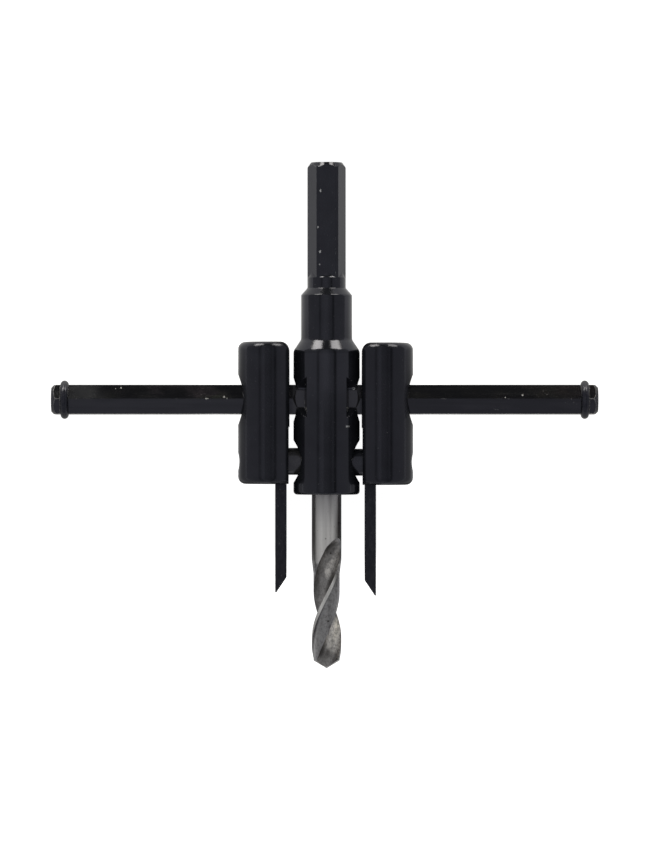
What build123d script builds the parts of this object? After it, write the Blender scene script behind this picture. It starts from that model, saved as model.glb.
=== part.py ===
from build123d import *
import os
from math import acos, atan2, cos, degrees, pi, radians, sin, sqrt, tan

# Adjustable circle cutter: a spindle with a hexagonal drive shank carries a hexagonal cross bar.
# Two round tool holders slide along the bar, each with a cutting blade, and a twist drill
# in the spindle's nose centres the cut. Millimetres. The tool lies on its back:
# X runs along the bar, Y along the spindle towards the shank, Z up.
# Every piece is first drawn with the bar's axis and the spindle's axis crossing at zero.

# Spindle: nose, collar and hexagonal shank in one piece
NOSE_R = 7.28
NOSE_BOTTOM = -20.83
NOSE_EDGE_R = 0.8
SHOULDER_SLOPE = 0.68
SHOULDER_TOP = 13.2
SHOULDER_EDGE_R = 1.6
COLLAR_R = 5.6
COLLAR_TOP = 22.95
COLLAR_EDGE_R = 0.5
NECK_R = 4.2
NECK_CONE = 1.55
SHANK_TOP = 52.1
SHANK_AF = 7.6
SHANK_TURN = 3.0
SHANK_CHAMFER = 1.1
SHANK_CHAMFER_WIDTH = 0.8
FLAT_END = 28.3
FLAT_RUNOUT = 1.5
ROOT_FILLET = 0.35
SHOULDER_ROOT_R = 1.1
RUNOUT_STEPS = 9
RUNOUT_POWER = 3

# Cross bar and its end rings
BAR_AF = 6.35
BAR_LENGTH = 120.1
BAR_SHIFT = -0.42
BAR_TURN = -3.0
BAR_CHAMFER = 1.0
BAR_PLAY = 0.05
RING_WIRE = 1.76
RING_LIFT = 0.17
RING_SET_IN = 2.9
RING_PLAY = 0.02
MOUTH_ANGLE = 53.5
NOSE_MOUTH_R = 4.83

# Pressed mark at each mouth of the nose that fixes the bar: its flat floor takes the bar's ridge too
MARK_X = 4.8
MARK_WALL_LEAN = 0.13
MARK_FLOOR = 2.45
MARK_Y = 0.5
MARK_FLOOR_HALF = 2.1
MARK_RIM_HALF = 4.35
MARK_RIM = 5.7
MARK_END_R = 5.3
MARK_END_LEAN = 0.45

# Tool holders
HOLDER_R = 6.5
HOLDER_TOP = 12.74
HOLDER_BOTTOM = -18.5
HOLDER_EDGE_R = 1.6
FLAT_EDGE_R = 2.0
HOLDER_MOUTH_R = 5.6
HOLDER_FLAT = 4.78
HOLDER_LOWER_FLAT = 4.6
LOWER_FLAT_TOP = -6.0
HOLDER_GAP = {"left": 0.9, "right": 0.46}
HOLDER_X = {
    "left": -(NOSE_R + HOLDER_FLAT + HOLDER_GAP["left"]),
    "right": NOSE_R + HOLDER_FLAT + HOLDER_GAP["right"],
}
HOLDER_DROP = {"left": 0.0, "right": 0.2}
CROSS_BORE_DEPTH = 13.55

# Blades
BLADE_WIDTH = 2.5
BLADE_DEPTH = 3.5
BLADE_OFFSET = 2.92
BLADE_TOP = -7.2
BLADE_PLAY = 0.05
BLADE_TIP = {"left": -42.4, "right": -43.1}
BLADE_BEVEL = 3.45
BLADE_TIP_FLAT = 0.2
BLADE_RELIEF = 12.0
SLOT_TOP = -4.75

# Guide pins and the recesses in the nose that take them
PIN_R = 3.0
PIN_REACH = 2.9
PIN_CHAMFER = 0.3
PIN_LEG = 2.4
RECESS_PLAY = 1.7
RECESS_R = PIN_R + RECESS_PLAY
RECESS_DEPTH = 2.98
RECESS_FLOOR = NOSE_R - RECESS_DEPTH

# Screws
SCREW_R = 3.0
SCREW_PLAY = 0.04
SCREW_KEY_AF = 3.0
SCREW_KEY_DEPTH = 2.4
SCREW_GAP = 0.05
BAR_SCREW_GAP = 0.15
BAR_SCREW_LENGTH = 7.0
NOSE_SCREW_LENGTH = 5.0
BLADE_SCREW_R = 2.0
BLADE_SCREW_KEY_AF = 2.0
BLADE_SCREW_KEY_DEPTH = 2.0
BLADE_SCREW_SET_IN = 0.3
DRILL_SCREW_LENGTH = 3.6
DRILL_SCREW_R = 2.5
DRILL_SCREW_KEY_AF = 2.5
DRILL_SCREW_KEY_DEPTH = 2.0
DRILL_SCREW_Y = -15.0

# Twist drill
DRILL_R = 3.25
DRILL_PLAY = 0.03
DRILL_SEAT_GAP = 0.3
DRILL_TOP = -9.0
DRILL_TIP = -59.05
DRILL_POINT_ANGLE = 59.0
DRILL_EDGE_R = 0.3
DRILL_PITCH = 40.0
DRILL_WEB = 0.65
FLUTE_R = 2.45
FLUTE_TOP = -33.6
FLUTE_SIDE_Y = -47.3
FLUTE_EXIT_TILTS = (16.0, 32.0, 46.0)
FLUTE_EXIT_STEP = 0.7
FLUTE_EXIT_END = 7.0
FLUTE_EXIT_TURN = 0.75
MARGIN_ANGLE = 14.0
LAND_RELIEF = 0.36
RELIEF_TOP = -38.2
RELIEF_RUNOUT = 3.0

SIDES = {"left": -1, "right": 1}

# How far a cutter reaches past what it cuts, and the block that grinds a blade's end
OVERCUT = 1.0
GRIND_BLOCK = (30.0, 10.0, 30.0)


def turned(points, radii):
    """Solid turned about the Y axis from an outline of (radius, height) points.
    radii gives the rounding of an outline corner by its place in the list."""
    face = make_face(Polyline(*points, close=True))
    for place, radius in radii.items():
        corner = face.vertices().sort_by_distance(points[place])[0]
        face = fillet(corner, radius)
    return revolve(face, Axis.Y)


def hexagon_along_y(across_flats, start, end, turn=0.0):
    """Hexagonal prism along Y with one flat facing up."""
    plane = Plane(origin=(0, start, 0), x_dir=(1, 0, 0), z_dir=(0, 1, 0))
    outline = plane * RegularPolygon(across_flats / 2, 6, major_radius=False)
    return extrude(outline, end - start).rotate(Axis.Y, turn)


def hexagon_along_x(across_flats, start, end):
    """Hexagonal prism along X with flats near +Y and -Y and a corner near the top.
    BAR_TURN turns it about its axis."""
    plane = Plane(origin=(start, 0, 0), x_dir=(0, 0, 1), z_dir=(1, 0, 0))
    outline = plane * RegularPolygon(across_flats / 2, 6, major_radius=False)
    return extrude(outline, end - start).rotate(Axis.X, BAR_TURN)


def rod_along_x(radius, start, end, y=0.0):
    """Round bar along X from start to end."""
    middle = Location(((start + end) / 2, y, 0))
    return middle * Rot(0, 90, 0) * Cylinder(radius, abs(end - start))


def mouth(side, surface, radius, throat):
    """Drill-point countersink along X. It is radius wide at the surface and narrows inwards
    to the throat radius."""
    slope = tan(radians(MOUTH_ANGLE))
    extra = 1.0
    depth = (radius - throat) / slope
    cone = Cone(throat, radius + extra * slope, depth + extra)
    middle = surface - depth + (depth + extra) / 2
    return Location((side * middle, 0, 0)) * Rot(0, side * 90, 0) * cone


def set_screw(radius, length, key_af, key_depth):
    """Hexagon socket set screw with a cup point. Its socket end is at the origin
    and it reaches down along -Z."""
    edge = 0.3
    point = radius * 0.3
    blank = Cylinder(radius, length, align=(Align.CENTER, Align.CENTER, Align.MAX))
    blank = chamfer(blank.edges().sort_by(Axis.Z)[-1], edge)
    blank = chamfer(blank.edges().sort_by(Axis.Z)[0], point)
    socket = extrude(RegularPolygon(key_af / 2, 6, major_radius=False), -key_depth)
    lead = Cone(key_af / 2, key_af / 2 + 2 * edge, 2 * edge)
    cup = Location((0, 0, -length)) * Cone(radius * 0.5, radius * 0.15, radius * 0.3)
    return blank - socket - lead - cup


def spindle():
    """Nose, collar and shank, turned in one piece, with the bar hole and the bores."""
    shoulder = (NOSE_R - COLLAR_R) / SHOULDER_SLOPE
    runout_low = FLAT_END - FLAT_RUNOUT
    flat_r = SHANK_AF / 2
    body = turned(
        [
            (0, NOSE_BOTTOM),
            (NOSE_R, NOSE_BOTTOM),
            (NOSE_R, SHOULDER_TOP - shoulder),
            (COLLAR_R, SHOULDER_TOP),
            (COLLAR_R, COLLAR_TOP),
            (NECK_R, COLLAR_TOP + NECK_CONE),
            *[
                (NECK_R - (NECK_R - flat_r) * (1 - (1 - step / RUNOUT_STEPS) ** RUNOUT_POWER),
                 runout_low + FLAT_RUNOUT * step / RUNOUT_STEPS)
                for step in range(RUNOUT_STEPS + 1)
            ],
            (0, FLAT_END),
        ],
        {1: NOSE_EDGE_R, 2: SHOULDER_EDGE_R, 3: SHOULDER_ROOT_R, 4: COLLAR_EDGE_R, 5: ROOT_FILLET},
    )
    blank = turned(
        [
            (0, runout_low),
            (NECK_R, runout_low),
            (NECK_R, SHANK_TOP - SHANK_CHAMFER),
            (NECK_R - SHANK_CHAMFER_WIDTH, SHANK_TOP),
            (0, SHANK_TOP),
        ],
        {2: 2 * ROOT_FILLET},
    )
    shank = blank & hexagon_along_y(SHANK_AF, runout_low, SHANK_TOP + OVERCUT, SHANK_TURN)
    body = body + shank
    reach = NOSE_R + OVERCUT
    body -= hexagon_along_x(BAR_AF + 2 * BAR_PLAY, -reach, reach)
    for side in SIDES.values():
        body -= mouth(side, NOSE_R, NOSE_MOUTH_R, BAR_AF / 2)
        body -= rod_along_x(RECESS_R, side * RECESS_FLOOR, side * reach, -CROSS_BORE_DEPTH)
        body -= pressed_mark(side)
    body -= bore_along_y(DRILL_R + DRILL_PLAY, NOSE_BOTTOM - OVERCUT, DRILL_TOP + DRILL_SEAT_GAP)
    body -= bore_along_y(SCREW_R, DRILL_TOP, 0)
    back_hole = Cylinder(DRILL_SCREW_R, reach, align=(Align.CENTER, Align.CENTER, Align.MAX))
    body -= Location((0, DRILL_SCREW_Y, 0)) * back_hole
    return body


def pressed_mark(side):
    """Cutter for one pressed mark: a wide V with a flat floor, square at its inner end
    and rounded at its outer end. All its walls lean outwards."""
    spread = (MARK_RIM_HALF - MARK_FLOOR_HALF) / (MARK_RIM - MARK_FLOOR)
    top = NOSE_R + OVERCUT
    half = MARK_FLOOR_HALF + spread * (top - MARK_FLOOR)
    outline = Polyline(
        (MARK_Y - MARK_FLOOR_HALF, MARK_FLOOR), (MARK_Y + MARK_FLOOR_HALF, MARK_FLOOR),
        (MARK_Y + half, top), (MARK_Y - half, top), close=True,
    )
    plane = Plane(origin=(0, 0, 0), x_dir=(0, 1, 0), z_dir=(1, 0, 0))
    block = extrude(plane * make_face(outline), 2 * NOSE_R)
    depth = top - MARK_FLOOR
    wall = Polyline(
        (MARK_X, MARK_FLOOR), (2 * NOSE_R, MARK_FLOOR), (2 * NOSE_R, top),
        (MARK_X - MARK_WALL_LEAN * depth, top), close=True,
    )
    inner_end = extrude(Plane.XZ * make_face(wall), 2 * NOSE_R, both=True)
    middle = sqrt(NOSE_R**2 - MARK_FLOOR**2) - MARK_END_R
    cone = Cone(MARK_END_R, MARK_END_R + MARK_END_LEAN * depth, depth)
    outer_end = Location((middle, MARK_Y, MARK_FLOOR + depth / 2)) * cone
    mark = block & inner_end & outer_end
    return mark if side > 0 else mirror(mark, Plane.YZ)


def bore_along_y(radius, start, end):
    """Round cutter along Y from start to end."""
    middle = Location((0, (start + end) / 2, 0))
    return middle * Rot(90, 0, 0) * Cylinder(radius, end - start)


def nose_bar_screw():
    """Set screw above the drill that locks the bar. It is reached through the drill's bore."""
    screw = set_screw(SCREW_R - SCREW_PLAY, NOSE_SCREW_LENGTH, SCREW_KEY_AF, SCREW_KEY_DEPTH)
    top = -BAR_AF / 2 - BAR_SCREW_GAP
    return Location((0, top - NOSE_SCREW_LENGTH, 0)) * Rot(90, 0, 0) * screw


def drill_screw():
    """Set screw in the back of the nose that clamps the drill."""
    screw = set_screw(
        DRILL_SCREW_R - SCREW_PLAY, DRILL_SCREW_LENGTH, DRILL_SCREW_KEY_AF, DRILL_SCREW_KEY_DEPTH
    )
    tip = DRILL_R + SCREW_GAP
    return Location((0, DRILL_SCREW_Y, -tip - DRILL_SCREW_LENGTH)) * Rot(180, 0, 0) * screw


def bar_end(side):
    return BAR_SHIFT + side * BAR_LENGTH / 2


def ring_x(side):
    return bar_end(side) - side * RING_SET_IN


def cross_bar():
    """Hexagonal bar with turned ends and a round groove near each end."""
    corner_r = BAR_AF / sqrt(3)
    bar = hexagon_along_x(BAR_AF, bar_end(-1), bar_end(1))
    turned_blank = Location((BAR_SHIFT, 0, 0)) * Rot(0, 90, 0) * Cylinder(corner_r, BAR_LENGTH)
    bar = bar & chamfer(turned_blank.edges().filter_by(GeomType.CIRCLE), BAR_CHAMFER)
    for side in SIDES.values():
        bar -= ring_body(side, RING_WIRE / 2 + RING_PLAY)
        bar -= pressed_mark(side)
    return bar


def ring_body(side, wire_r):
    """Torus about the bar's axis at one of its ends."""
    return Location((ring_x(side), 0, 0)) * Rot(0, 90, 0) * Torus(BAR_AF / 2 + RING_LIFT, wire_r)


def end_ring(side):
    return ring_body(side, RING_WIRE / 2)


def blade_side(name):
    """+1 or -1: where a holder's blade lies from its axis, which is towards the spindle."""
    return -SIDES[name]


def holder(name):
    """Round tool holder with a flat on its inner side, its bar hole, its screw holes,
    its pin bore and a blade slot that is open on the flat."""
    drop = HOLDER_DROP[name]
    inward = blade_side(name)
    top = HOLDER_TOP - drop
    bottom = HOLDER_BOTTOM - drop
    cross_y = -CROSS_BORE_DEPTH - drop
    body = turned(
        [(0, bottom), (HOLDER_R, bottom), (HOLDER_R, top), (0, top)],
        {1: HOLDER_EDGE_R, 2: HOLDER_EDGE_R},
    )
    reach = HOLDER_R + OVERCUT
    body -= hexagon_along_x(BAR_AF + 2 * BAR_PLAY, -reach, reach)
    body -= mouth(-inward, HOLDER_R, HOLDER_MOUTH_R, BAR_AF / 2)
    body -= bore_along_y(SCREW_R, 0, top + OVERCUT)
    body &= rounded_block(inward, HOLDER_FLAT, top, bottom)
    body -= block_inside(inward, HOLDER_LOWER_FLAT, LOWER_FLAT_TOP - drop, bottom - OVERCUT, 2 * reach)
    body -= rod_along_x(PIN_R, 0, inward * reach, cross_y)
    body -= rod_along_x(BLADE_SCREW_R, -inward * reach, 0, cross_y)
    slot_start = BLADE_OFFSET - BLADE_WIDTH / 2 - BLADE_PLAY
    slot_depth = BLADE_DEPTH + 2 * BLADE_PLAY
    body -= block_inside(inward, slot_start, SLOT_TOP - drop, bottom - OVERCUT, slot_depth)
    return Location((HOLDER_X[name], 0, 0)) * body


def rounded_block(inward, flat, top, bottom):
    """Block that a holder is cut to: its inner side is the flat, rounded at the upper end."""
    outline = Polyline(
        (flat, top), (flat, bottom), (-2 * HOLDER_R, bottom), (-2 * HOLDER_R, top), close=True
    )
    face = make_face(outline)
    face = fillet(face.vertices().sort_by_distance((flat, top))[0], FLAT_EDGE_R)
    block = extrude(face, 2 * HOLDER_R, both=True)
    return block if inward > 0 else mirror(block, Plane.YZ)


def block_inside(inward, start, top, bottom, depth):
    """Cutter on a holder's inner side: it takes all beyond start, between two heights."""
    width = 2 * HOLDER_R
    middle = inward * (start + width / 2)
    return Location((middle, (top + bottom) / 2, 0)) * Box(width, top - bottom, depth)


def holder_bar_screw(name):
    """Set screw down the holder's top that bears on the bar's upper flat."""
    screw = set_screw(SCREW_R - SCREW_PLAY, BAR_SCREW_LENGTH, SCREW_KEY_AF, SCREW_KEY_DEPTH)
    top = BAR_AF / 2 + BAR_SCREW_GAP + BAR_SCREW_LENGTH
    return Location((HOLDER_X[name], top, 0)) * Rot(-90, 0, 0) * screw


def blade_screw(name):
    """Set screw in the holder's outer side that bears on the blade."""
    inward = blade_side(name)
    tip = BLADE_OFFSET - BLADE_WIDTH / 2 - SCREW_GAP
    outer = -HOLDER_R + BLADE_SCREW_SET_IN
    screw = set_screw(
        BLADE_SCREW_R - SCREW_PLAY, tip - outer, BLADE_SCREW_KEY_AF, BLADE_SCREW_KEY_DEPTH
    )
    place = Location((HOLDER_X[name] + inward * outer, -CROSS_BORE_DEPTH - HOLDER_DROP[name], 0))
    return place * Rot(0, -inward * 90, 0) * screw


def guide_pin(name):
    """Pin pressed into the holder's inner side. Its slotted end straddles the blade,
    and its nose enters the recess in the spindle."""
    inward = blade_side(name)
    radius = PIN_R - SCREW_PLAY
    seat = BLADE_OFFSET + BLADE_WIDTH / 2 + BLADE_PLAY
    start = seat - PIN_LEG
    length = HOLDER_FLAT + PIN_REACH - start
    pin = Cylinder(radius, length, align=(Align.CENTER, Align.CENTER, Align.MIN))
    pin = chamfer(pin.edges().sort_by(Axis.Z)[-1], PIN_CHAMFER)
    slot = Box(BLADE_DEPTH + 2 * BLADE_PLAY, 4 * radius, 2 * PIN_LEG)
    place = Location((HOLDER_X[name] + inward * start, -CROSS_BORE_DEPTH - HOLDER_DROP[name], 0))
    return place * Rot(0, inward * 90, 0) * (pin - slot)


def blade(name):
    """Flat cutting blade. Its end is ground to a point on the outer edge, with relief."""
    inward = blade_side(name)
    tip = BLADE_TIP[name]
    half = BLADE_WIDTH / 2
    top = BLADE_TOP - HOLDER_DROP[name]
    outline = Polyline(
        (-half, top), (half, top), (half, tip + BLADE_BEVEL), (-half + BLADE_TIP_FLAT, tip),
        (-half, tip + BLADE_TIP_FLAT), close=True,
    )
    bar = extrude(make_face(outline), BLADE_DEPTH / 2, both=True)
    slope = degrees(atan2(BLADE_BEVEL, BLADE_WIDTH - BLADE_TIP_FLAT))
    grind = Box(*GRIND_BLOCK, align=(Align.CENTER, Align.MAX, Align.CENTER))
    hinge = Location((-half + BLADE_TIP_FLAT, tip, BLADE_DEPTH / 2), (0, 0, slope))
    bar -= hinge * Rot(BLADE_RELIEF, 0, 0) * grind
    if inward < 0:
        bar = mirror(bar, Plane.YZ)
    return Location((HOLDER_X[name] + inward * BLADE_OFFSET, 0, 0)) * bar


def flute_frame(y):
    """Plane across the drill at height y. Its own Y points at the middle of the first flute,
    which faces sideways at FLUTE_SIDE_Y and front at a quarter pitch above."""
    turn = radians(360 * (y - FLUTE_SIDE_Y) / DRILL_PITCH - 90)
    return Plane(origin=(0, y, 0), x_dir=(-cos(turn), 0, sin(turn)), z_dir=(0, 1, 0))


def wedge(radius, start, end):
    """Flat sector between two angles in degrees, cut to a circle."""
    rays = [(3 * radius * cos(radians(a)), 3 * radius * sin(radians(a))) for a in (start, end)]
    return make_face(Polyline((0, 0), *rays, close=True)) & Circle(radius)


def drill_section(relief):
    """Cross-section of the fluted part: two flutes, and a raised margin on each land's
    leading edge. The first flute is towards +Y."""
    flute_x = FLUTE_R + DRILL_WEB
    half = degrees(acos((DRILL_R**2 + flute_x**2 - FLUTE_R**2) / (2 * DRILL_R * flute_x)))
    section = Circle(DRILL_R - relief)
    for turn in (90, 270):
        section += wedge(DRILL_R, turn + half - 3, turn + half + MARGIN_ANGLE)
    for side in (-1, 1):
        section -= flute_circle(side)
    return section


def flute_circle(side):
    return Location((0, side * (FLUTE_R + DRILL_WEB))) * Circle(FLUTE_R)


def flute_exits(side):
    """Cutters that carry one flute on, each tilted further out of the drill than the one before,
    as a milling cutter lifts out. They turn less than the helix."""
    frame = flute_frame(FLUTE_TOP)
    centre = frame.origin + frame.y_dir * side * (FLUTE_R + DRILL_WEB)
    cutters = []
    for place, tilt in enumerate(FLUTE_EXIT_TILTS):
        last = place == len(FLUTE_EXIT_TILTS) - 1
        step = FLUTE_EXIT_END if last else FLUTE_EXIT_STEP
        arm = Vector(centre.X, 0, centre.Z)
        ahead = frame.z_dir.cross(arm.normalized())
        drift = 2 * pi * arm.length / DRILL_PITCH * FLUTE_EXIT_TURN
        heading = arm.normalized() * tan(radians(tilt)) + ahead * drift + frame.z_dir
        plane = Plane(origin=centre, x_dir=(1, 0, 0), z_dir=(0, 1, 0))
        cutters.append(extrude(plane * Circle(FLUTE_R), step * heading.length, dir=heading))
        centre = centre + heading * step
    return cutters


def twisted(start, end, relief):
    """Fluted stretch of the drill between two heights."""
    section = (flute_frame(start) * drill_section(relief)).face()
    return Solid.extrude_linear_with_rotation(
        section, (0, start, 0), (0, end - start, 0), 360 * (end - start) / DRILL_PITCH
    )


def twist_drill():
    """Twist drill with two right-hand flutes that run out below the plain shank."""
    point = DRILL_R / tan(radians(DRILL_POINT_ANGLE))
    blank = turned(
        [(0, DRILL_TIP), (DRILL_R, DRILL_TIP + point), (DRILL_R, RELIEF_TOP), (0, RELIEF_TOP)], {}
    )
    land_r = DRILL_R - LAND_RELIEF
    runout = turned(
        [(0, RELIEF_TOP), (land_r, RELIEF_TOP), (DRILL_R, RELIEF_TOP + RELIEF_RUNOUT),
         (DRILL_R, FLUTE_TOP), (0, FLUTE_TOP)],
        {},
    )
    shank = turned(
        [(0, FLUTE_TOP), (DRILL_R, FLUTE_TOP), (DRILL_R, DRILL_TOP), (0, DRILL_TOP)],
        {2: DRILL_EDGE_R},
    )
    lower = twisted(DRILL_TIP - OVERCUT, RELIEF_TOP, LAND_RELIEF) & blank
    middle = twisted(RELIEF_TOP, FLUTE_TOP, 0.0) & runout
    for side in (-1, 1):
        for cutter in flute_exits(side):
            shank -= cutter
    return lower + middle + shank


def export_all(pieces):
    """Moves the pieces to the part's own frame and writes one file for each."""
    rise = NOSE_R
    x_shift = -BAR_SHIFT
    y_shift = -(SHANK_TOP + DRILL_TIP) / 2
    place = Location((x_shift, y_shift, rise))
    os.makedirs("parts", exist_ok=True)
    for name, shape in pieces.items():
        moved = place * shape
        moved.label = name
        export_step(moved, f"parts/{name}.step")


def all_pieces():
    pieces = {
        "spindle": spindle(),
        "nose_bar_screw": nose_bar_screw(),
        "drill_screw": drill_screw(),
        "twist_drill": twist_drill(),
        "cross_bar": cross_bar(),
    }
    for name, side in SIDES.items():
        pieces[f"{name}_end_ring"] = end_ring(side)
        pieces[f"{name}_holder"] = holder(name)
        pieces[f"{name}_bar_screw"] = holder_bar_screw(name)
        pieces[f"{name}_blade_screw"] = blade_screw(name)
        pieces[f"{name}_guide_pin"] = guide_pin(name)
        pieces[f"{name}_blade"] = blade(name)
    return pieces


export_all(all_pieces())
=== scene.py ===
import math

import bpy
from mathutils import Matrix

# Look of the adjustable circle cutter: gloss black turned parts, a worn black bar,
# dull blades and a ground twist drill, on a white floor under soft studio light.

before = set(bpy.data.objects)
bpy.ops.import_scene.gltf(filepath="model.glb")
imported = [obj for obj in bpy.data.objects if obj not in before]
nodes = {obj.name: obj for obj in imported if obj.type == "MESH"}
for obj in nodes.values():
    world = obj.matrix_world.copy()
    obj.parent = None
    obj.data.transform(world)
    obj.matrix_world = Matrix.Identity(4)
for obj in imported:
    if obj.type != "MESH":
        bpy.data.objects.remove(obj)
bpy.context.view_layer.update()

MM = 0.001
X, Y, Z = range(3)


def reach_of(name, axis):
    """Lowest and highest coordinate of a piece along one of its own axes."""
    values = [corner[axis] for corner in nodes[name].bound_box]
    return min(values), max(values)


def middle_of(name, axis):
    return sum(reach_of(name, axis)) / 2


# Places and sizes taken from the pieces
SPINDLE_X = middle_of("spindle", X)
AXIS_HEIGHT = middle_of("spindle", Z)
BAR_Y = middle_of("cross_bar", Y)
DRILL_R = (reach_of("twist_drill", X)[1] - reach_of("twist_drill", X)[0]) / 2

# Camera straight above, framed as the photograph
VIEW_CENTRE = (-0.15 * MM, -3.62 * MM)
VIEW_HEIGHT = 189.9 * MM
CAMERA_RISE = 1.1
SENSOR_HEIGHT = 36.0

# Linear light colours
COOL_TINT = (0.79, 0.80, 1.0, 1.0)
WARM_TINT = (1.0, 0.96, 0.79)

# Share of a noise pattern's values between which it fades from one state to the other
MIDDLE = (0.3, 0.7)


def make_camera():
    data = bpy.data.cameras.new("camera")
    data.sensor_fit = "VERTICAL"
    data.sensor_height = SENSOR_HEIGHT
    data.lens = SENSOR_HEIGHT * CAMERA_RISE / VIEW_HEIGHT
    data.clip_start = 0.01
    camera = bpy.data.objects.new("camera", data)
    camera.location = (*VIEW_CENTRE, AXIS_HEIGHT + CAMERA_RISE)
    bpy.context.scene.collection.objects.link(camera)
    bpy.context.scene.camera = camera


class Graph:
    """Short way to lay shader nodes and join them."""

    def __init__(self, tree):
        self.tree = tree
        tree.nodes.clear()

    def node(self, kind, inputs=None, **settings):
        made = self.tree.nodes.new(kind)
        for name, value in settings.items():
            setattr(made, name, value)
        for name, value in (inputs or {}).items():
            self.put(made.inputs[name], value)
        return made

    def put(self, socket, value):
        if isinstance(value, bpy.types.NodeSocket):
            self.tree.links.new(value, socket)
        else:
            socket.default_value = value

    def math(self, operation, first, second=0.0, third=None, clamp=False):
        made = self.node("ShaderNodeMath", {0: first, 1: second}, operation=operation, use_clamp=clamp)
        if third is not None:
            self.put(made.inputs[2], third)
        return made.outputs[0]

    def times(self, *values):
        product = values[0]
        for value in values[1:]:
            product = self.math("MULTIPLY", product, value)
        return product

    def plus(self, first, second, clamp=False):
        return self.math("ADD", first, second, clamp=clamp)

    def minus(self, first, second):
        return self.math("SUBTRACT", first, second)

    def larger(self, first, second):
        return self.math("MAXIMUM", first, second)

    def distance(self, first, second):
        """How far apart two numbers are."""
        return self.math("ABSOLUTE", self.minus(first, second))

    def mix(self, factor, first, second):
        made = self.node("ShaderNodeMix", data_type="RGBA")
        self.put(made.inputs[0], factor)
        self.put(made.inputs[6], first)
        self.put(made.inputs[7], second)
        return made.outputs[2]

    def span(self, value, low, high, out_low=0.0, out_high=1.0):
        """Fade from out_low at low to out_high at high."""
        made = self.node(
            "ShaderNodeMapRange",
            {"Value": value, "From Min": low, "From Max": high, "To Min": out_low, "To Max": out_high},
            interpolation_type="SMOOTHSTEP",
        )
        return made.outputs[0]

    def span_mm(self, value, low, high):
        """Fade from 0 to 1 between two places given in millimetres."""
        return self.span(value, low * MM, high * MM)

    def ramp(self, value, stops):
        made = self.node("ShaderNodeValToRGB", {0: value})
        band = made.color_ramp
        band.elements.remove(band.elements[1])
        for number, (place, level) in enumerate(stops):
            element = band.elements[0] if number == 0 else band.elements.new(place)
            element.position = place
            element.color = (level, level, level, 1.0)
        return made.outputs[0]

    def place(self):
        """A point's coordinates in its piece's own frame."""
        return self.node("ShaderNodeTexCoord").outputs["Object"]

    def axes(self, vector=None):
        """The three parts of a vector, or of the place."""
        source = self.place() if vector is None else vector
        return tuple(self.node("ShaderNodeSeparateXYZ", {0: source}).outputs)

    def vector(self, operation, first, second=None):
        inputs = {0: first} if second is None else {0: first, 1: second}
        made = self.node("ShaderNodeVectorMath", inputs, operation=operation)
        is_number = operation in ("DISTANCE", "LENGTH", "DOT_PRODUCT")
        return made.outputs["Value"] if is_number else made.outputs["Vector"]

    def noise(self, scale, stretch=(1.0, 1.0, 1.0), detail=4.0, roughness=0.55):
        """Noise with its scale given per metre, stretched to run along or across a part."""
        mapped = self.node("ShaderNodeMapping", {"Vector": self.place(), "Scale": stretch}).outputs[0]
        inputs = {"Vector": mapped, "Scale": scale, "Detail": detail, "Roughness": roughness}
        return self.node("ShaderNodeTexNoise", inputs).outputs["Fac"]


def colour(*values):
    return (*values, 1.0)


def grey(level):
    return colour(level, level, level)


def new_material(name):
    material = bpy.data.materials.new(name)
    material.use_nodes = True
    return material, Graph(material.node_tree)


def finish_material(graph, base, metallic, roughness, normal, **extra):
    """Close a material. extra holds further inputs, their names written with underscores."""
    inputs = {"Base Color": base, "Metallic": metallic, "Roughness": roughness, "Normal": normal}
    inputs.update({name.replace("_", " "): value for name, value in extra.items()})
    shader = graph.node("ShaderNodeBsdfPrincipled", inputs)
    graph.node("ShaderNodeOutputMaterial", {0: shader.outputs[0]})


BEVEL_SAMPLES = 6
EDGE_TURNS = (0.985, 0.90)


def rounded_normal(graph, radius):
    return graph.node("ShaderNodeBevel", {"Radius": radius * MM}, samples=BEVEL_SAMPLES).outputs[0]


def edge_mask(graph, radius):
    """1 on sharp outer edges and 0 on flats, from the angle between the surface and its rounding."""
    surface = graph.node("ShaderNodeNewGeometry").outputs["Normal"]
    turned = graph.vector("DOT_PRODUCT", rounded_normal(graph, radius), surface)
    return graph.span(turned, *EDGE_TURNS)


def surface_normal(graph, height, strength, depth, edge_radius):
    """Fine relief over softened edges. depth and edge_radius are in millimetres."""
    inputs = {
        "Height": height,
        "Strength": strength,
        "Distance": depth * MM,
        "Normal": rounded_normal(graph, edge_radius),
    }
    return graph.node("ShaderNodeBump", inputs).outputs[0]


# Small bright nicks on the plating and on the bar, as (x, y, z, radius) in millimetres
NICKS = [
    (-0.94, 49.3, 11.0, 0.24), (-1.44, 41.3, 11.0, 0.16), (-1.02, 35.9, 11.0, 0.26),
    (-1.10, 33.1, 11.0, 0.19), (4.75, -2.41, 13.13, 0.14), (5.05, -2.41, 12.89, 0.15),
    (5.35, -2.41, 12.62, 0.14), (-2.57, 13.9, 13.6, 0.20),
]
BAR_NICKS = [
    (-44.67, 6.07, 9.38, 0.18), (-45.9, 5.9, 9.5, 0.10), (-26.0, 3.72, 10.90, 0.14),
    (-25.6, 3.70, 10.90, 0.10), (-22.06, 4.07, 10.67, 0.19), (-21.4, 3.75, 10.88, 0.10),
    (39.57, 3.94, 10.76, 0.13), (43.39, 4.42, 10.45, 0.17),
]
NICK_STRETCH = (1.0, 0.6, 1.0)
NICK_GRAIN = 3500.0
NICK_RAGGED = (1.6, 0.2)


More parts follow.
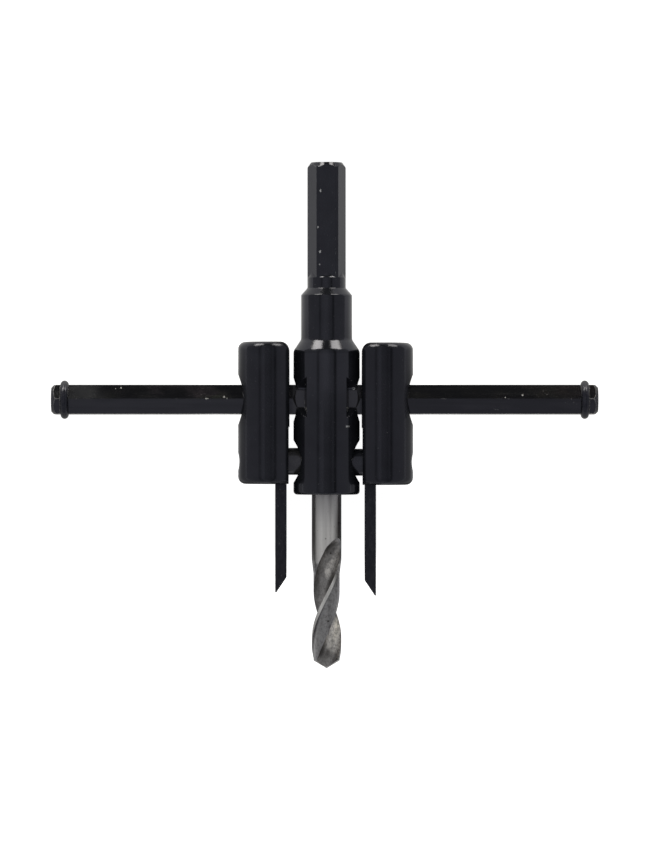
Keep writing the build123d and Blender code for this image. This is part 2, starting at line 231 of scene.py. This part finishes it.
def nick_mask(graph, nicks):
    """1 inside the listed nicks, whose outlines are broken up by noise."""
    stretched = graph.vector("MULTIPLY", graph.place(), NICK_STRETCH)
    ragged = graph.math("MULTIPLY_ADD", graph.noise(NICK_GRAIN, detail=3.0), *NICK_RAGGED)
    total = 0.0
    for *spot, radius in nicks:
        centre = [v * MM * k for v, k in zip(spot, NICK_STRETCH)]
        near = graph.times(graph.vector("DISTANCE", stretched, centre), 1 / (radius * MM))
        total = graph.plus(graph.math("LESS_THAN", near, ragged), total, clamp=True)
    return total


SPOT_FADE = (1.4, 0.2)


def spot_mask(graph, spots, ragged):
    """1 inside soft spots listed as (x, y, half width, half height) in millimetres,
    with their outlines moved by ragged."""
    place = graph.place()
    total = 0.0
    for x, y, wide, high in spots:
        off = graph.vector("SUBTRACT", place, (x * MM, y * MM, 0.0))
        scaled = graph.vector("MULTIPLY", off, (1 / (wide * MM), 1 / (high * MM), 0.0))
        inside = graph.span(graph.plus(graph.vector("LENGTH", scaled), ragged), *SPOT_FADE)
        total = graph.larger(inside, total)
    return total


# Plating: colours, reflectivity, and the specular level lost along the crest and gained in a zone, which
# paint a darker and a brighter reflection
PLATING = (0.0040, 0.0043, 0.0055)
# Painted shade: the right holder's plating is darker than the left holder's.
SHADED_PLATING = (0.0036, 0.0038, 0.0050)
# Painted light and shade: the left pin's black is paler than the right pin's.
LIT_LEFT_PIN_BLACK = (0.0160, 0.0158, 0.0162)
SHADED_RIGHT_PIN_BLACK = (0.0065, 0.0068, 0.0085)
SCREW_BLACK = (0.008, 0.008, 0.009)
CLOUD_GAIN = 1.5
DUST = colour(0.10, 0.10, 0.105)
BARE_STEEL = colour(0.52, 0.52, 0.53)
PLATING_LEVEL = 0.5
CREST_REFLECTION_LOSS = 0.22
NOSE_REFLECTION_GAIN = 0.16
DULL_GAIN = 0.05
NICK_SHARE = 0.8
CREST_TURN = 0.04

# Zones along the spindle's axis, as (low, high, fade below, fade above) in millimetres
SHOULDER = (14.2, 17.1, 0.4, 0.4)
# Painted reflection: the nose's crest reflects less low down, and its top zone reflects more.
NOSE_DIM_REFLECTION = (-40.0, -4.0, 1.0, 12.0)
NOSE_BRIGHT_REFLECTION = (8.0, 13.5, 6.0, 0.3)
WHOLE_HOLDER = (-40.0, 30.0, 1.0, 1.0)


def crest_line(graph):
    """1 along the top line of a turned part, a little to the right of its middle."""
    normal = graph.node("ShaderNodeTexCoord").outputs["Normal"]
    sideways, _, upwards = graph.axes(normal)
    near = graph.span(graph.distance(sideways, CREST_TURN), 0.17, 0.09)
    return graph.times(near, graph.span(upwards, 0.85, 0.95))


def height_zone(graph, low, high, fade_below, fade_above):
    """1 between two heights along the spindle's axis, in millimetres with their fades."""
    height = graph.axes()[Y]
    return graph.times(
        graph.span_mm(height, low - fade_below, low), graph.span_mm(height, high + fade_above, high)
    )


def gloss_black(
    name, base, roughness=0.12, wear=0.9, turning=0.6, edge_radius=0.12,
    nicked=False, dull=None, handled=None, brighter_reflection=None,
):
    """Black plated steel: smooth, with faint turning marks, dust and small bright nicks.
    It is duller in the zone dull. Its specular level is lowered along the crest in the zone
    handled, a painted darker reflection, and raised in the zone brighter_reflection, a painted
    brighter reflection."""
    material, graph = new_material(name)
    cloud = graph.noise(260.0)
    rings = graph.noise(900.0, (0.15, 6.0, 0.15), detail=2.0)
    dust = graph.span(graph.noise(2600.0, detail=2.0), 0.70, 0.76, 0.0, 0.25)
    patches = graph.span(graph.noise(700.0, detail=3.0), 0.60, 0.68)
    nicks = graph.times(edge_mask(graph, 0.25), patches, wear)
    if nicked:
        nicks = graph.larger(nicks, graph.times(nick_mask(graph, NICKS), NICK_SHARE))
    pale = colour(*[CLOUD_GAIN * value for value in base])
    tint = graph.mix(graph.span(cloud, *MIDDLE), colour(*base), pale)
    worn = graph.mix(nicks, graph.mix(dust, tint, DUST), BARE_STEEL)
    finish = graph.span(cloud, 0.25, 0.75, 0.8 * roughness, 1.3 * roughness)
    if dull:
        finish = graph.math("MULTIPLY_ADD", height_zone(graph, *dull), DULL_GAIN, finish)
    level = PLATING_LEVEL
    # Painted darker reflection along the crest and painted brighter reflection in a zone, through the
    # specular level.
    if handled:
        dimmed = graph.times(crest_line(graph), height_zone(graph, *handled))
        level = graph.math("MULTIPLY_ADD", dimmed, -CREST_REFLECTION_LOSS, level)
    if brighter_reflection:
        level = graph.math("MULTIPLY_ADD", height_zone(graph, *brighter_reflection), NOSE_REFLECTION_GAIN, level)
    relief = graph.plus(graph.times(rings, turning), graph.times(cloud, 0.3))
    finish_material(
        graph, worn, nicks, finish, surface_normal(graph, relief, 0.25, 0.02, edge_radius),
        IOR=1.5, Specular_IOR_Level=level, Specular_Tint=COOL_TINT,
    )
    return material


# Bar: colours of its faces on the right and on the left arm, and places in millimetres. The front faces are
# painted lighter than the back faces, and the left arm lighter than the right, as painted light and shade.
BAR_OLIVE = (colour(0.0026, 0.0026, 0.0012), colour(0.0080, 0.0088, 0.0060))
BAR_PURPLE = (colour(0.0045, 0.0024, 0.0018), colour(0.0120, 0.0090, 0.0110))
BAR_FRONT_DARK = colour(0.0042, 0.0043, 0.0055)
BAR_FRONT_PALE = colour(0.0085, 0.0085, 0.0102)
BAR_FRONT_LIT_LEFT = colour(0.0100, 0.0103, 0.0120)
BAR_BACK_SHADED = colour(0.0026, 0.0027, 0.0030)
DARK_LINES = colour(0.0010, 0.0010, 0.0011)
PALE_LINES = colour(0.0140, 0.0140, 0.0150)
HANDLED_BLACK = colour(0.0180, 0.0185, 0.0200)
HELD_BLACK = colour(0.0165, 0.0165, 0.0180)
BAR_BARE = colour(0.235, 0.23, 0.23)
HELD_EDGE = (7.6, 7.2)
# Painted highlight on the edges of the bar's ends, between these distances from its middle.
END_HIGHLIGHT = (57.4, 58.2)
LIT_ARM_FADE = (5.0, -5.0)
BACK_FADE = (BAR_Y, BAR_Y + 0.5 * MM)
HANDLED_SPOT = (-53.0, 5.3, 4.5, 2.4)


def worn_bar():
    """Black bar with long draw marks, brownish smudges and scuffs, brighter along its ridges,
    with a painted highlight on the edges of its ends. Its front faces are painted lighter and its
    back faces darker, and its left arm lighter than its right, as painted light and shade.
    The middle, which the nose holds, is plated like the nose."""
    material, graph = new_material("bar_black")
    along, across, _ = graph.axes()
    held = graph.span_mm(graph.distance(along, SPINDLE_X), *HELD_EDGE)
    end_highlight = graph.span_mm(graph.distance(along, 0.0), *END_HIGHLIGHT)
    # Painted light: the left arm's colours are paler than the right arm's.
    lit_left_arm = graph.span_mm(along, *LIT_ARM_FADE)
    shaded_back_face = graph.span(across, *BACK_FADE)
    draw = graph.noise(900.0, (0.03, 1.0, 1.0), detail=5.0, roughness=0.7)
    blotch = graph.noise(130.0, (0.45, 1.0, 1.0), roughness=0.6)
    smudge = graph.noise(180.0, (0.5, 1.0, 1.0), detail=5.0, roughness=0.65)
    grit = graph.noise(1900.0, detail=3.0)

    scuffs = graph.span(graph.noise(500.0), 0.56, 0.68, 0.0, 0.35)
    # The scuffs along the ridges are wear; the bright end edges are a painted highlight.
    ridge_wear_and_end_highlight = graph.times(edge_mask(graph, 0.25), graph.larger(scuffs, graph.times(end_highlight, 0.85)))
    chips = graph.times(graph.span(grit, 0.66, 0.71), graph.span(smudge, 0.54, 0.64, 0.0, 0.25))
    bright = graph.plus(ridge_wear_and_end_highlight, chips, clamp=True)
    bright = graph.larger(bright, graph.times(nick_mask(graph, BAR_NICKS), 1.1))

    olive = graph.mix(lit_left_arm, *BAR_OLIVE)
    purple = graph.mix(lit_left_arm, *BAR_PURPLE)
    brown = graph.mix(graph.span(blotch, 0.44, 0.58), olive, purple)
    smudged = graph.times(graph.span(smudge, 0.45, 0.70), shaded_back_face)
    front = graph.mix(graph.span(blotch, 0.40, 0.62), BAR_FRONT_DARK, BAR_FRONT_PALE)
    front = graph.mix(lit_left_arm, front, graph.mix(0.6, front, BAR_FRONT_LIT_LEFT))
    # Painted shade: the back face is darker than the front face.
    tint = graph.mix(smudged, graph.mix(shaded_back_face, front, BAR_BACK_SHADED), brown)
    tint = graph.mix(graph.span(draw, 0.42, 0.68, 0.0, 0.7), tint, DARK_LINES)
    tint = graph.mix(graph.span(draw, 0.44, 0.28, 0.0, 0.35), tint, PALE_LINES)
    handled = spot_mask(graph, [HANDLED_SPOT], graph.span(smudge, *MIDDLE, 0.3, -0.3))
    tint = graph.mix(graph.times(handled, 0.8), tint, HANDLED_BLACK)
    tint = graph.mix(held, tint, HELD_BLACK)
    finish_material(
        graph, graph.mix(bright, tint, BAR_BARE), 0.0, graph.span(smudge, *MIDDLE, 0.11, 0.20),
        surface_normal(graph, graph.plus(draw, grit), 0.25, 0.02, 0.15),
        IOR=1.5, Specular_Tint=COOL_TINT,
    )
    return material


BLADE_DARK = colour(0.0004, 0.0006, 0.0012)
BLADE_PALE = colour(0.0065, 0.0068, 0.0082)
BLADE_PIT = colour(0.04, 0.038, 0.036)
BLADE_SCUFF = colour(0.16, 0.155, 0.15)


def dull_blade():
    """Dull black blade with pits and a few bright scuffs on its corners."""
    material, graph = new_material("blade_black")
    grain = graph.noise(1500.0, (1.0, 0.4, 1.0), detail=6.0, roughness=0.7)
    pits = graph.noise(2400.0, detail=2.0)
    scuffs = graph.times(edge_mask(graph, 0.2), graph.span(graph.noise(900.0), 0.50, 0.60, 0.0, 0.8))
    tint = graph.mix(graph.span(grain, 0.38, 0.66), BLADE_DARK, BLADE_PALE)
    pitted = graph.mix(graph.span(pits, 0.66, 0.72, 0.0, 0.6), tint, BLADE_PIT)
    relief = graph.minus(grain, graph.span(pits, 0.60, 0.72))
    finish_material(
        graph, graph.mix(scuffs, pitted, BLADE_SCUFF), 0.0, graph.span(grain, *MIDDLE, 0.32, 0.46),
        surface_normal(graph, relief, 0.5, 0.03, 0.12),
        IOR=1.45, Specular_Tint=COOL_TINT,
    )
    return material


# Painted highlights on the flutes and the right side, dark spots that are partly stains and partly
# painted shade at the left flute's exit, and pits on the drill, as (x, y, half width, half height)
# in millimetres
DRILL_PAINTED_HIGHLIGHTS = [
    (2.75, -31.9, 1.0, 2.6), (1.9, -32.7, 1.1, 1.7), (0.8, -34.4, 0.8, 1.2), (2.1, -46.8, 1.2, 2.4),
    (2.4, -50.3, 1.1, 2.6), (3.1, -48.2, 0.8, 5.2), (1.2, -49.9, 0.9, 2.0),
]
DRILL_STAINS_AND_SHADE = [
    (1.9, -36.3, 0.9, 1.9), (-1.75, -38.6, 0.8, 4.0), (0.7, -52.3, 0.9, 1.2), (1.3, -29.4, 1.9, 1.4),
    (-0.5, -51.6, 0.8, 2.0), (-2.3, -28.6, 0.7, 1.3),
]
DRILL_PITS = [(1.32, -30.3, 0.26, 0.26), (0.79, -45.1, 0.36, 0.28), (0.22, -27.0, 0.18, 0.22)]

# Painted reflection: brightness across the shank from its left edge at 0 to its right edge at 1
SHANK_REFLECTION_BANDS = [
    (0.0, 0.30), (0.074, 0.36), (0.21, 0.70), (0.345, 1.0), (0.48, 0.60), (0.60, 1.0),
    (0.68, 1.0), (0.75, 0.62), (0.82, 0.25), (0.89, 0.13), (1.0, 0.25),
]

# Where the drill's zones begin and are full, in millimetres from its axis or along it
FLUTE_EDGE = (2.86, 2.76)
LAND_EDGE = (3.20, 3.10)
OUTER_SIDE = (1.8, 2.2)
# Painted reflection: the shank's darker reflection of the nose fades out between these places.
NOSE_REFLECTION_FADE = (-17.0, -26.0)

# Painted reflection of the nose on the shank next to it.
NOSE_REFLECTION_STEEL = colour(0.42, 0.415, 0.43)
REFLECTION_BAND_STEEL = (colour(0.0, 0.0, 0.0), colour(1.0, 0.99, 0.98))
STREAKED_STEEL = colour(0.62, 0.61, 0.61)
GROUND_STEEL = colour(0.55, 0.54, 0.53)
LAND_STEEL = colour(0.36, 0.36, 0.375)
FLUTE_STEEL = colour(0.40, 0.39, 0.39)
MOTTLED_STEEL = colour(0.13, 0.12, 0.12)
HIGHLIGHT_STEEL = colour(0.96, 0.93, 0.89)
STAIN_AND_SHADE_STEEL = colour(0.12, 0.115, 0.115)
PIT_STEEL = colour(0.05, 0.045, 0.04)


def drill_steel():
    """Ground tool steel: a polished shank with painted reflection bands across it and a painted
    darker reflection of the nose near the nose, bright margins, and duller, stained flutes with
    fine marks, painted highlights and some painted shade."""
    material, graph = new_material("drill_steel")
    side, along, height = graph.axes()
    across = graph.minus(side, SPINDLE_X)
    up = graph.minus(height, AXIS_HEIGHT)
    radius = graph.math("SQRT", graph.plus(graph.times(across, across), graph.times(up, up)))
    flute = graph.span_mm(radius, *FLUTE_EDGE)
    land = graph.span_mm(radius, *LAND_EDGE)
    off_shank = graph.larger(flute, land)
    brighter_reflection = graph.span_mm(along, *NOSE_REFLECTION_FADE)
    outer = graph.times(graph.span_mm(across, *OUTER_SIDE), off_shank)

    rings = graph.noise(1400.0, (0.1, 5.0, 0.1), detail=3.0)
    streaks = graph.noise(900.0, (1.0, 0.06, 1.0), detail=3.0)
    marks = graph.noise(2200.0, (1.0, 0.7, 1.0), roughness=0.7)
    stain = graph.noise(620.0, (1.0, 0.7, 1.0), detail=5.0, roughness=0.7)
    pits = graph.span(graph.noise(1700.0, detail=2.0), 0.70, 0.74)
    ragged = graph.span(stain, *MIDDLE, -0.5, 0.5)

    # Painted reflection bands across the shank, and the nose's painted reflection near it.
    reflection_bands = graph.ramp(graph.math("MULTIPLY_ADD", across, 1 / (2 * DRILL_R), 0.5), SHANK_REFLECTION_BANDS)
    tint = graph.mix(brighter_reflection, NOSE_REFLECTION_STEEL, graph.mix(reflection_bands, *REFLECTION_BAND_STEEL))
    tint = graph.mix(graph.span(streaks, 0.35, 0.65, 0.0, 0.2), tint, STREAKED_STEEL)
    tint = graph.mix(graph.span(rings, *MIDDLE, 0.0, 0.12), tint, GROUND_STEEL)
    tint = graph.mix(land, tint, LAND_STEEL)
    tint = graph.mix(flute, tint, FLUTE_STEEL)
    mottle = graph.times(graph.span(marks, 0.36, 0.60, 0.54, 0.0), off_shank)
    tint = graph.mix(mottle, tint, MOTTLED_STEEL)
    # Painted highlights on the flutes and the drill's right side.
    painted_highlight = graph.times(spot_mask(graph, DRILL_PAINTED_HIGHLIGHTS, ragged), graph.larger(flute, outer))
    painted_highlight = graph.times(painted_highlight, graph.span(marks, 0.34, 0.62, 0.3, 0.85))
    tint = graph.mix(painted_highlight, tint, HIGHLIGHT_STEEL)
    # Dark spots: partly stains, partly painted shade at the left flute's exit.
    stain_and_shade = graph.times(spot_mask(graph, DRILL_STAINS_AND_SHADE, ragged), off_shank, 0.6)
    tint = graph.mix(stain_and_shade, tint, STAIN_AND_SHADE_STEEL)
    pitted = graph.larger(graph.times(pits, 0.6), spot_mask(graph, DRILL_PITS, 0.2))
    tint = graph.mix(pitted, tint, PIT_STEEL)

    dull = graph.times(off_shank, graph.span(marks, *MIDDLE, 0.0, 0.12))
    finish = graph.plus(dull, graph.span(rings, *MIDDLE, 0.34, 0.40))
    relief = graph.plus(graph.times(rings, 0.2), graph.times(marks, off_shank))
    finish_material(graph, tint, 1.0, finish, surface_normal(graph, relief, 0.4, 0.03, 0.05))
    return material


RUBBER_DARK = colour(0.0030, 0.0033, 0.0055)
RUBBER_PALE = colour(0.0080, 0.0083, 0.0105)
RUBBER_CROWN_SHEEN = colour(0.021, 0.021, 0.022)
CROWN_SHEEN_FADE = (2.6, 3.6)


def ring_rubber():
    """Smooth black rubber with a moulding bloom, and a painted sheen that makes its back and front crowns
    paler.
    """
    material, graph = new_material("ring_rubber")
    bloom = graph.noise(900.0, detail=3.0)
    off_axis = graph.distance(graph.axes()[Y], BAR_Y)
    # Painted sheen on the ring's back and front crowns, broken up by the bloom.
    crown_sheen = graph.times(graph.span_mm(off_axis, *CROWN_SHEEN_FADE), graph.span(bloom, 0.3, 0.6, 0.5, 1.0))
    dark = graph.mix(graph.span(bloom, 0.4, 0.7), RUBBER_DARK, RUBBER_PALE)
    finish_material(
        graph, graph.mix(crown_sheen, dark, RUBBER_CROWN_SHEEN), 0.0, graph.span(bloom, *MIDDLE, 0.20, 0.32),
        surface_normal(graph, bloom, 0.15, 0.01, 0.05),
        IOR=1.5, Specular_Tint=COOL_TINT,
    )
    return material


HOLDER_EDGE_R = 0.9


def dress_nodes():
    """Give each piece its material, looked up by its name or by its name's ending."""
    looks = {
        "spindle": gloss_black(
            "plated_spindle", PLATING, turning=0.8, nicked=True,
            dull=SHOULDER, handled=NOSE_DIM_REFLECTION, brighter_reflection=NOSE_BRIGHT_REFLECTION,
        ),
        "left_holder": gloss_black(
            "plated_black", PLATING, edge_radius=HOLDER_EDGE_R, handled=WHOLE_HOLDER
        ),
        "right_holder": gloss_black(
            "plated_shaded", SHADED_PLATING, edge_radius=HOLDER_EDGE_R, handled=WHOLE_HOLDER
        ),
        "left_guide_pin": gloss_black("plated_left_pin", LIT_LEFT_PIN_BLACK, roughness=0.14, turning=0.5),
        "right_guide_pin": gloss_black("plated_right_pin", SHADED_RIGHT_PIN_BLACK, roughness=0.14, turning=0.5),
        "_screw": gloss_black("screw_black", SCREW_BLACK, roughness=0.30, wear=0.5, turning=0.2),
        "cross_bar": worn_bar(),
        "_blade": dull_blade(),
        "twist_drill": drill_steel(),
        "_end_ring": ring_rubber(),
    }
    for name, node in nodes.items():
        look = next(look for ending, look in looks.items() if name.endswith(ending))
        node.data.materials.clear()
        node.data.materials.append(look)


# Floor: sizes in metres, glows and greys, and zones of painted shade in millimetres from the origin
FLOOR_HALF = 1.5
FLOOR_GLOW = 0.93
SHADOW_COVER_GLOW = 0.05
MIRROR_GLOW = 0.05
PAPER = (grey(0.78), grey(0.80))
SHADED_PAPER = grey(0.36)
PAINTED_SHADOW_PAPER = grey(0.05)
BESIDE_TOOL = (17.0, 34.0)
SHADE_REACH = (190.0, 130.0)
SHADE_TOP = (30.0, 6.0)
NOSE_SIDES = (7.5, 5.0)
NOSE_END = (-22.0, -17.0)
DRILL_SIDES = (30.0, 20.0)
DRILL_START = (-14.5, -17.0)
DRILL_END = (-34.0, -29.0)


def floor_colour(graph):
    """White paper with painted shade beside the holders and a painted shadow under the nose and
    the drill, which darken their reflections in the tool, and the mask of the painted shadow."""
    sideways, along, _ = graph.axes()
    off = graph.distance(sideways, 0.0)
    near = graph.span_mm(graph.vector("LENGTH", graph.place()), *SHADE_REACH)
    shade = graph.times(graph.span_mm(off, *BESIDE_TOOL), near, graph.span_mm(along, *SHADE_TOP))
    below_nose = graph.times(graph.span_mm(off, *NOSE_SIDES), graph.span_mm(along, *NOSE_END))
    below_drill = graph.times(
        graph.span_mm(off, *DRILL_SIDES), graph.span_mm(along, *DRILL_END), graph.span_mm(along, *DRILL_START)
    )
    # Painted shadow under the nose and the drill, darker than the painted shade beside the holders.
    painted_shadow = graph.larger(below_nose, below_drill)
    paper = graph.mix(graph.span(graph.noise(6.0, detail=1.0), *MIDDLE), *PAPER)
    return graph.mix(painted_shadow, graph.mix(shade, paper, SHADED_PAPER), PAINTED_SHADOW_PAPER), painted_shadow


def make_floor():
    mesh = bpy.data.meshes.new("floor")
    corners = [(-1, -1), (1, -1), (1, 1), (-1, 1)]
    mesh.from_pydata([(x * FLOOR_HALF, y * FLOOR_HALF, 0) for x, y in corners], [], [(0, 1, 2, 3)])
    floor = bpy.data.objects.new("floor", mesh)
    bpy.context.scene.collection.objects.link(floor)
    material, graph = new_material("floor_white")
    paper, painted_shadow = floor_colour(graph)
    diffuse = graph.node("ShaderNodeBsdfDiffuse", {"Color": paper})
    path = graph.node("ShaderNodeLightPath")
    # The camera sees extra glow over the painted shadow, so it shows in reflections only.
    lit = graph.math("MULTIPLY_ADD", painted_shadow, SHADOW_COVER_GLOW, FLOOR_GLOW)
    seen = graph.times(path.outputs["Is Camera Ray"], lit)
    mirrored = graph.times(path.outputs["Is Glossy Ray"], MIRROR_GLOW)
    glow = graph.node("ShaderNodeEmission", {"Strength": graph.plus(seen, mirrored)})
    both = graph.node("ShaderNodeAddShader", {0: diffuse.outputs[0], 1: glow.outputs[0]})
    graph.node("ShaderNodeOutputMaterial", {0: both.outputs[0]})
    mesh.materials.append(material)


# Tent: brightness by the angle from straight overhead, in degrees towards the right
SEAM = 30
SEAM_SOFT = 7
TENT = [
    (-100, 0.39), (-60, 0.39), (-SEAM - SEAM_SOFT, 0.39), (-SEAM, 0.12), (-SEAM + SEAM_SOFT, 0.40),
    (-6, 0.49), (5, 0.44), (14, 0.29), (SEAM - SEAM_SOFT, 0.28), (SEAM - 1, 0.0), (SEAM + 1, 0.0),
    (SEAM + SEAM_SOFT, 0.37), (60, 0.39), (100, 0.38),
]
FAR_END = (0.70, 0.86)
FAR_LEVEL = 0.18


def make_world():
    """Pale tent with a dim far end and two thin dark seams overhead."""
    world = bpy.data.worlds.new("studio")
    bpy.context.scene.world = world
    world.use_nodes = True
    graph = Graph(world.node_tree)
    direction = graph.node("ShaderNodeTexCoord").outputs["Generated"]
    sideways, along, upwards = graph.axes(direction)
    angle = graph.math("ARCTAN2", sideways, upwards)
    turn = graph.math("MULTIPLY_ADD", angle, 1 / (2 * math.pi), 0.5)
    band = graph.ramp(turn, [(0.5 + degrees / 360, level) for degrees, level in TENT])
    level = graph.times(band, graph.span(along, *FAR_END, 1.0, FAR_LEVEL))
    path = graph.node("ShaderNodeLightPath")
    studio = graph.node("ShaderNodeBackground", {"Color": grey(1.0), "Strength": level})
    white = graph.node("ShaderNodeBackground", {"Color": grey(1.0), "Strength": 1.0})
    choice = graph.node(
        "ShaderNodeMixShader", {0: path.outputs["Is Camera Ray"], 1: studio.outputs[0], 2: white.outputs[0]}
    )
    graph.node("ShaderNodeOutputWorld", {0: choice.outputs[0]})


def area_light(name, azimuth, elevation, distance, size, power, tint=(1.0, 1.0, 1.0), glossy=True):
    """Soft box at an azimuth from +Y towards +X and an elevation, aimed at the part."""
    data = bpy.data.lights.new(name, "AREA")
    data.shape = "RECTANGLE"
    data.size, data.size_y = size
    data.energy = power
    data.color = tint
    lamp = bpy.data.objects.new(name, data)
    flat = distance * math.cos(math.radians(elevation))
    lamp.location = (
        flat * math.sin(math.radians(azimuth)),
        flat * math.cos(math.radians(azimuth)),
        distance * math.sin(math.radians(elevation)),
    )
    lamp.rotation_euler = (math.radians(90 - elevation), 0.0, math.radians(180 - azimuth))
    lamp.visible_glossy = glossy
    lamp.visible_camera = False
    bpy.context.scene.collection.objects.link(lamp)


# Two soft boxes low behind the shank, whose power differs, and one overhead
BOX_AZIMUTH = 25
BOX_ELEVATION = 13
BOX_DISTANCE = 1.5
BOX_SIZE = (0.66, 0.44)
BOX_POWERS = {"left_box": (-1, 11.6), "right_box": (1, 9.4)}
TOP_DISTANCE = 1.6
TOP_SIZE = (1.4, 1.4)
TOP_POWER = 15.0


def make_lights():
    for name, (side, power) in BOX_POWERS.items():
        area_light(name, side * BOX_AZIMUTH, BOX_ELEVATION, BOX_DISTANCE, BOX_SIZE, power, WARM_TINT)
    area_light("top_box", 0, 90, TOP_DISTANCE, TOP_SIZE, TOP_POWER, glossy=False)


make_camera()
dress_nodes()
make_floor()
make_world()
make_lights()

settings = bpy.context.scene.view_settings
settings.view_transform = "Standard"
